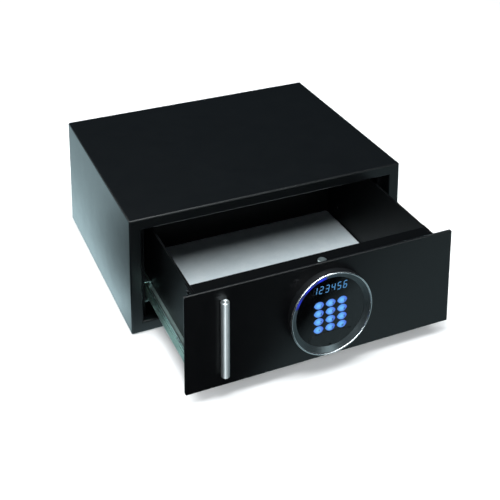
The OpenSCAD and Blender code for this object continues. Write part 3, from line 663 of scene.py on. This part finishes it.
def felt_mat():
    """A loose sheet of felt: fine grid, slightly uneven top, thinned edge, corners cut round."""
    lo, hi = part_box("floor_mat")
    x0, x1, y0, y1 = lo.x + FELT_INSET, hi.x - FELT_INSET, lo.y + FELT_INSET, hi.y - FELT_INSET
    nx, ny = FELT_CELLS
    bm = bmesh.new()
    grid_top, grid_low = {}, {}

    def pull_in(x, y):
        """Moves a point in a square corner onto the rounded one."""
        cx = min(max(x, x0 + FELT_CORNER), x1 - FELT_CORNER)
        cy = min(max(y, y0 + FELT_CORNER), y1 - FELT_CORNER)
        dx, dy = x - cx, y - cy
        if min(abs(dx), abs(dy)) > 1e-9:
            scale = max(abs(dx), abs(dy)) / math.hypot(dx, dy)
            return cx + dx * scale, cy + dy * scale
        return x, y

    for i in range(nx + 1):
        for j in range(ny + 1):
            x, y = pull_in(x0 + (x1 - x0) * i / nx, y0 + (y1 - y0) * j / ny)
            edge = min(i, nx - i, j, ny - j)
            top = hi.z + FELT_TOP - FELT_EDGE_DROP.get(edge, 0.0)
            for scale, slice_z, height in FELT_WAVES:
                top += noise.noise(Vector((x * scale, y * scale, slice_z))) * height
            grid_top[i, j] = bm.verts.new((x, y, min(top, hi.z + FELT_TOP_LIMIT)))
            if edge == 0:
                grid_low[i, j] = bm.verts.new((x, y, lo.z + FELT_BASE))
    for i in range(nx):
        for j in range(ny):
            bm.faces.new((grid_top[i, j], grid_top[i + 1, j], grid_top[i + 1, j + 1], grid_top[i, j + 1]))
    loop = [(i, 0) for i in range(nx)] + [(nx, j) for j in range(ny)]
    loop += [(i, ny) for i in range(nx, 0, -1)] + [(0, j) for j in range(ny, 0, -1)]
    for k, at in enumerate(loop):
        nxt = loop[(k + 1) % len(loop)]
        bm.faces.new((grid_low[at], grid_low[nxt], grid_top[nxt], grid_top[at]))
    bm.faces.new([grid_low[at] for at in reversed(loop)])
    obj = from_bmesh("felt_mat", bm, felt_grey, "drawer")
    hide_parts("floor_mat")


felt_mat()

# ---------- studio ----------

BACKDROP = (1.0, 1.0, 1.0)
ROOM = (0.10, 0.108, 0.115)  # what lights the parts from all round
ROOM_IN_REFLECTIONS = (0.026, 0.036, 0.045)
SWEEP_COLOUR = (0.68, 0.93, 1.0)
SWEEP_POWER = 2.6
FLOOR_HALF = 14.0
FLOOR_DROP = 0.5 * MM  # below the safe's underside
FADE_FROM, FADE_TO = 1.0, 2.6  # distances over which the floor turns into the backdrop


def sweep_level(s):
    """How bright reflections see each part of the floor. It shades the safe's left side and front."""
    x, y, _ = s.separate()
    # it ends along a slanting line off the front left corner
    across = s.math("ADD", s.times(x, 0.588), s.times(y, 0.809))
    lit = s.remap(across, -0.385, -0.345, 0.01, 1.0)
    # an oval beside the left side is dark
    placed = {"Vector": s.coords, "Location": (3.69, 0.128, 0), "Scale": (9.71, 4.27, 0)}
    beside = s.add("ShaderNodeMapping", placed).outputs[0]
    dim = s.smooth(s.vector_math("LENGTH", "Value", {0: beside}), 0.747, 1.312, 0.03, 1.0)
    # and it falls off towards the front and away from the left side
    ahead = s.remap(y, -0.23, -0.09, 0.16, 1.0)
    near = s.remap(x, -0.32, -0.255, 0.42, 1.03)
    return s.times(lit, dim, ahead, near)


def stage_floor():
    """A pale floor that fades into the backdrop and hides nothing from below. Reflections see a lit sweep."""
    s = Shader("studio_floor")
    path = s.add("ShaderNodeLightPath").outputs

    def blended(factor, a, b):
        return s.add("ShaderNodeMixShader", {0: factor, 1: a, 2: b}).outputs[0]

    tone = s.mix(s.spread(s.noise(1.5, 2.0)), (0.885, 0.86, 0.855), (0.905, 0.88, 0.875))
    pale = s.add("ShaderNodeBsdfDiffuse", {"Color": tone, "Roughness": 0.5}).outputs[0]
    away = s.vector_math("LENGTH", "Value", {0: s.coords})
    far = s.times(s.smooth(away, FADE_FROM, FADE_TO, 0.0, 1.0), path["Is Camera Ray"])
    distance = s.add("ShaderNodeEmission", {"Color": (*BACKDROP, 1)}).outputs[0]
    strength = s.times(sweep_level(s), SWEEP_POWER)
    sweep = s.add("ShaderNodeEmission", {"Color": (*SWEEP_COLOUR, 1), "Strength": strength}).outputs[0]
    under = s.times(s.add("ShaderNodeNewGeometry").outputs["Backfacing"], path["Is Camera Ray"])
    clear = s.add("ShaderNodeBsdfTransparent").outputs[0]
    shown = blended(path["Is Glossy Ray"], blended(far, pale, distance), sweep)
    s.tree.links.new(blended(under, shown, clear), s.output.inputs["Surface"])
    mesh = bpy.data.meshes.new("studio_floor")
    corners = [(-FLOOR_HALF, -FLOOR_HALF, 0), (FLOOR_HALF, -FLOOR_HALF, 0)]
    corners += [(FLOOR_HALF, FLOOR_HALF, 0), (-FLOOR_HALF, FLOOR_HALF, 0)]
    mesh.from_pydata(corners, [], [(0, 1, 2, 3)])
    mesh.materials.append(s.material)
    obj = bpy.data.objects.new("studio_floor", mesh)
    scene.collection.objects.link(obj)
    obj.location.z = -FLOOR_DROP


def world_light():
    """Pale backdrop for the camera, a darker room in reflections, and a dim cool one for everything else."""
    world = bpy.data.worlds.new("studio")
    scene.world = world
    world.use_nodes = True
    tree = world.node_tree
    tree.nodes.clear()
    output = tree.nodes.new("ShaderNodeOutputWorld")
    path = tree.nodes.new("ShaderNodeLightPath")
    last = None
    for ray, colour in ((None, ROOM), ("Is Glossy Ray", ROOM_IN_REFLECTIONS), ("Is Camera Ray", BACKDROP)):
        light = tree.nodes.new("ShaderNodeBackground")
        light.inputs["Color"].default_value = (*colour, 1)
        if ray is None:
            last = light.outputs[0]
            continue
        mix = tree.nodes.new("ShaderNodeMixShader")
        tree.links.new(path.outputs[ray], mix.inputs[0])
        tree.links.new(last, mix.inputs[1])
        tree.links.new(light.outputs[0], mix.inputs[2])
        last = mix.outputs[0]
    tree.links.new(last, output.inputs["Surface"])


def area_light(name, at, aim, size, power, colour, lights_felt=False):
    """A softbox turned to aim. The felt, pale among black parts, is lit only by one that lights_felt."""
    data = bpy.data.lights.new(name, "AREA")
    data.shape = "RECTANGLE"
    data.size, data.size_y = size
    data.energy = power
    data.color = colour
    obj = bpy.data.objects.new(name, data)
    scene.collection.objects.link(obj)
    obj.location = at
    obj.rotation_euler = (Vector(aim) - Vector(at)).to_track_quat("-Z", "Y").to_euler()
    linked = bpy.data.collections.new(name + "_receivers")
    linked.objects.link(bpy.data.objects["felt_mat"])
    linked.collection_objects[0].light_linking.link_state = "INCLUDE" if lights_felt else "EXCLUDE"
    obj.light_linking.receiver_collection = linked


stage_floor()
world_light()
area_light("overhead", (-0.3, -0.4, 2.8), (-0.05, -0.2, 0), (2.2, 1.9), 125, (0.92, 0.98, 1.0))
area_light("front_right", (1.35, -3.1, 0.95), (0.05, -0.3, 0.1), (0.9, 1.1), 16, (0.9, 0.98, 1.0))
area_light("front_left", (-1.15, -2.7, 1.3), (-0.16, -0.37, 0.1), (0.6, 2.0), 55, (0.92, 0.98, 1.0))
area_light("back_left", (-2.6, 1.6, 1.6), (-0.4, 0.3, 0), (1.8, 1.4), 35, (0.95, 0.99, 1.0))
area_light("felt_key", (-0.25, -1.3, 2.1), (0, -0.2, 0), (0.6, 0.9), 50, (0.95, 0.99, 1.0), lights_felt=True)

# ---------- camera, solved from the photo's straight edges ----------

CAMERA_AT = (-0.632608, -1.490495, 1.013992)
CAMERA_TURN = (76.33799, 0.32161, -22.21566)
LENS, SENSOR = 71.7524, 36.0
LENS_SHIFT = {"shift_x": 0.076487, "shift_y": -0.68004}
NEAR_CLIP, FAR_CLIP = 0.05, 60.0


def photo_camera():
    """The camera at the photo's viewpoint. Drivers drop its lens shift when it stands at another height."""
    data = bpy.data.cameras.new("camera")
    data.sensor_width = SENSOR
    data.lens = LENS
    data.clip_start, data.clip_end = NEAR_CLIP, FAR_CLIP
    camera = bpy.data.objects.new("camera", data)
    scene.collection.objects.link(camera)
    camera.location = CAMERA_AT
    camera.rotation_euler = [math.radians(angle) for angle in CAMERA_TURN]
    for path, shift in LENS_SHIFT.items():
        driver = data.driver_add(path).driver
        driver.type = "SCRIPTED"
        variable = driver.variables.new()
        variable.name = "at"
        variable.targets[0].id = camera
        variable.targets[0].data_path = "location[2]"
        driver.expression = f"{shift} if abs(at - {camera.location.z:.6f}) < 0.0001 else 0.0"
    scene.camera = camera


photo_camera()
scene.view_settings.view_transform = "Standard"
scene.view_settings.look = "None"
